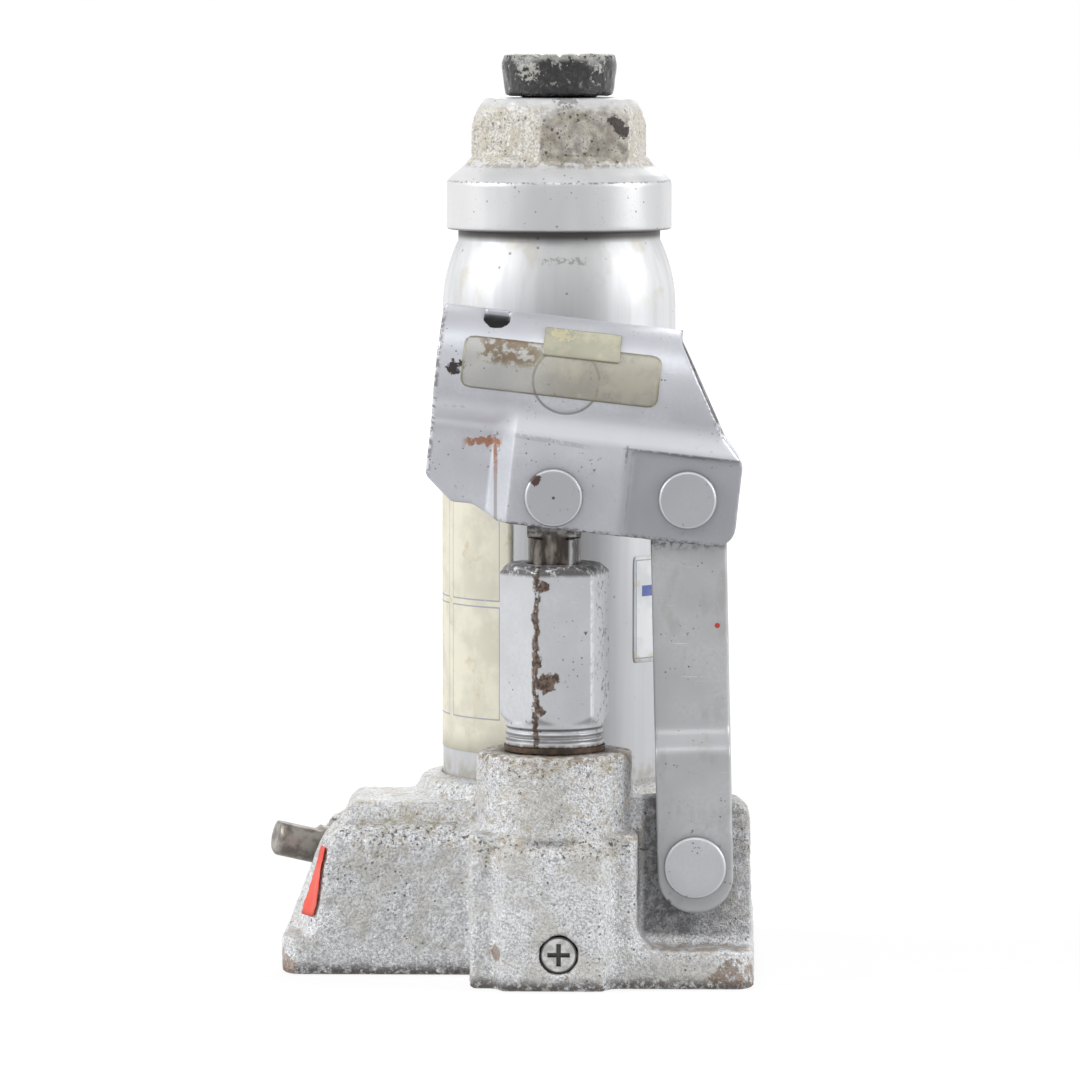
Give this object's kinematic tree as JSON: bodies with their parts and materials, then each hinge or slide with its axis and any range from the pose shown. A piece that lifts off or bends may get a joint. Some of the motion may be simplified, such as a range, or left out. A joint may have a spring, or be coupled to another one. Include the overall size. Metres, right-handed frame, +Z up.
{
  "type": "bottle jack",
  "caption": "Hydraulic bottle jack: cast base, round tank under a hexagon cap, toothed saddle on an extension screw, front pump worked by a pressed lever socket on a swinging link.",
  "frame": {"origin": "on the ram's axis, at the floor face of the base", "axes": "+Z up along the ram; -Y towards the pump; +X towards the link and the lug, -X towards the release spindle"},
  "size_m": [0.0964, 0.0925, 0.181],
  "materials": {
    "cast_silver": "aluminium paint over rough sand-cast iron, specked and stained",
    "tank_silver": "satin silver paint on drawn tube",
    "cap_silver": "silver paint over turned and cast surfaces, dirty",
    "socket_silver": "silver paint on pressed sheet, chipped and scratched",
    "strap_silver": "silver paint on pressed strip",
    "pump_silver": "silver paint on hexagon bar, peeled at one edge",
    "pin_silver": "silver paint with a bare bright rim",
    "spindle_grey": "thin silver paint on a steel spindle",
    "saddle_black": "blackened forging with worn chips",
    "ground_steel": "ground steel with an oil film",
    "zinc_steel": "zinc-plated turned steel",
    "spring_steel": "spring steel",
    "ball_steel": "polished bearing steel",
    "seal_rubber": "oil-proof black rubber",
    "copper": "soft copper and brass gauze"
  },
  "bodies": {
    "base": {"base_casting": "cast_silver", "reservoir_tube": "tank_silver", "reservoir_base_seal": "seal_rubber", "oil_filler_plug": "seal_rubber", "pressure_cylinder": "ground_steel", "cylinder_base_gasket": "copper", "top_cap": "cap_silver", "cap_seal_ring": "seal_rubber", "ram_gland_seal": "seal_rubber", "ram_wiper_ring": "seal_rubber", "pump_cylinder": "pump_silver", "pump_cylinder_washer": "copper", "pump_seat_washer": "copper", "pump_gland_seal": "seal_rubber", "suction_ball_stop": "spring_steel", "suction_strainer": "copper", "delivery_plug_screw": "zinc_steel", "safety_valve_spring": "spring_steel", "safety_valve_screw": "zinc_steel", "release_gland_nut": "zinc_steel", "release_packing_ring": "seal_rubber", "lower_link_pin": "pin_silver", "lower_pin_clip": "spring_steel"},
    "ram": {"ram": "ground_steel", "piston_backing_washer": "zinc_steel", "piston_cup_seal": "seal_rubber", "piston_cup_nut": "zinc_steel"},
    "screw_stop": {"screw_stop_ring": "zinc_steel"},
    "screw": {"extension_screw": "saddle_black"},
    "plunger": {"pump_plunger": "ground_steel", "plunger_cup_seal": "seal_rubber"},
    "link": {"link_strap_front": "strap_silver", "link_strap_rear": "strap_silver"},
    "lever": {"handle_socket": "socket_silver", "plunger_pin": "pin_silver", "upper_link_pin": "pin_silver", "lever_pin_clips": "spring_steel"},
    "suction_valve": {"suction_ball": "ball_steel"},
    "delivery_valve": {"delivery_ball": "ball_steel", "delivery_spring": "spring_steel"},
    "safety_valve": {"safety_valve_ball": "ball_steel"},
    "release_valve": {"release_valve_ball": "ball_steel"},
    "release_screw": {"release_valve_spindle": "spindle_grey"}
  },
  "joints": [
    {"name": "ram_lift", "type": "slide", "parent": "base", "child": "ram", "axis": [0, 0, 1], "range_m": [0, 0.105]},
    {"name": "screw_rise", "type": "slide", "parent": "ram", "child": "screw_stop", "axis": [0, 0, 1], "range_m": [0, 0.048]},
    {"name": "screw_turn", "type": "hinge", "parent": "screw_stop", "child": "screw", "pos_m": [0, 0, 0.17], "axis": [0, 0, 1], "range_deg": [0, 5760]},
    {"name": "plunger_stroke", "type": "slide", "parent": "base", "child": "plunger", "axis": [0, 0, 1], "range_m": [-0.0039, 0.014]},
    {"name": "link_swing", "type": "hinge", "parent": "base", "child": "link", "pos_m": [0.0276, -0.0375, 0.0235], "axis": [0, 1, 0], "range_deg": [-2.6, 0.75]},
    {"name": "handle_swing", "type": "hinge", "parent": "link", "child": "lever", "pos_m": [0.026, -0.0375, 0.0951], "axis": [0, 1, 0], "range_deg": [-9.5, 35]},
    {"name": "suction_ball_lift", "type": "slide", "parent": "base", "child": "suction_valve", "axis": [0, 0, 1], "range_m": [0, 0.0015]},
    {"name": "delivery_ball_lift", "type": "slide", "parent": "base", "child": "delivery_valve", "axis": [0, -1, 0], "range_m": [0, 0.0006]},
    {"name": "safety_ball_lift", "type": "slide", "parent": "base", "child": "safety_valve", "axis": [0, 0, 1], "range_m": [0, 0.0008], "deforming": ["safety_valve_spring"]},
    {"name": "release_lift", "type": "slide", "parent": "base", "child": "release_valve", "axis": [-0.9292, -0.2823, 0.2385], "range_m": [0, 0.00187]},
    {"name": "release_turn", "type": "hinge", "parent": "release_valve", "child": "release_screw", "pos_m": [0, 0, 0.0116], "axis": [-0.9292, -0.2823, 0.2385], "range_deg": [0, 540]}
  ],
  "couplings": [
    {"joint": "screw_turn", "follows": "screw_rise", "rad_per_m": 2094.4},
    {"joint": "plunger_stroke", "follows": "handle_swing", "m_per_rad": 0.02275},
    {"joint": "link_swing", "follows": "handle_swing", "ratio": -0.073},
    {"joint": "release_turn", "follows": "release_lift", "rad_per_m": 5026.5}
  ]
}
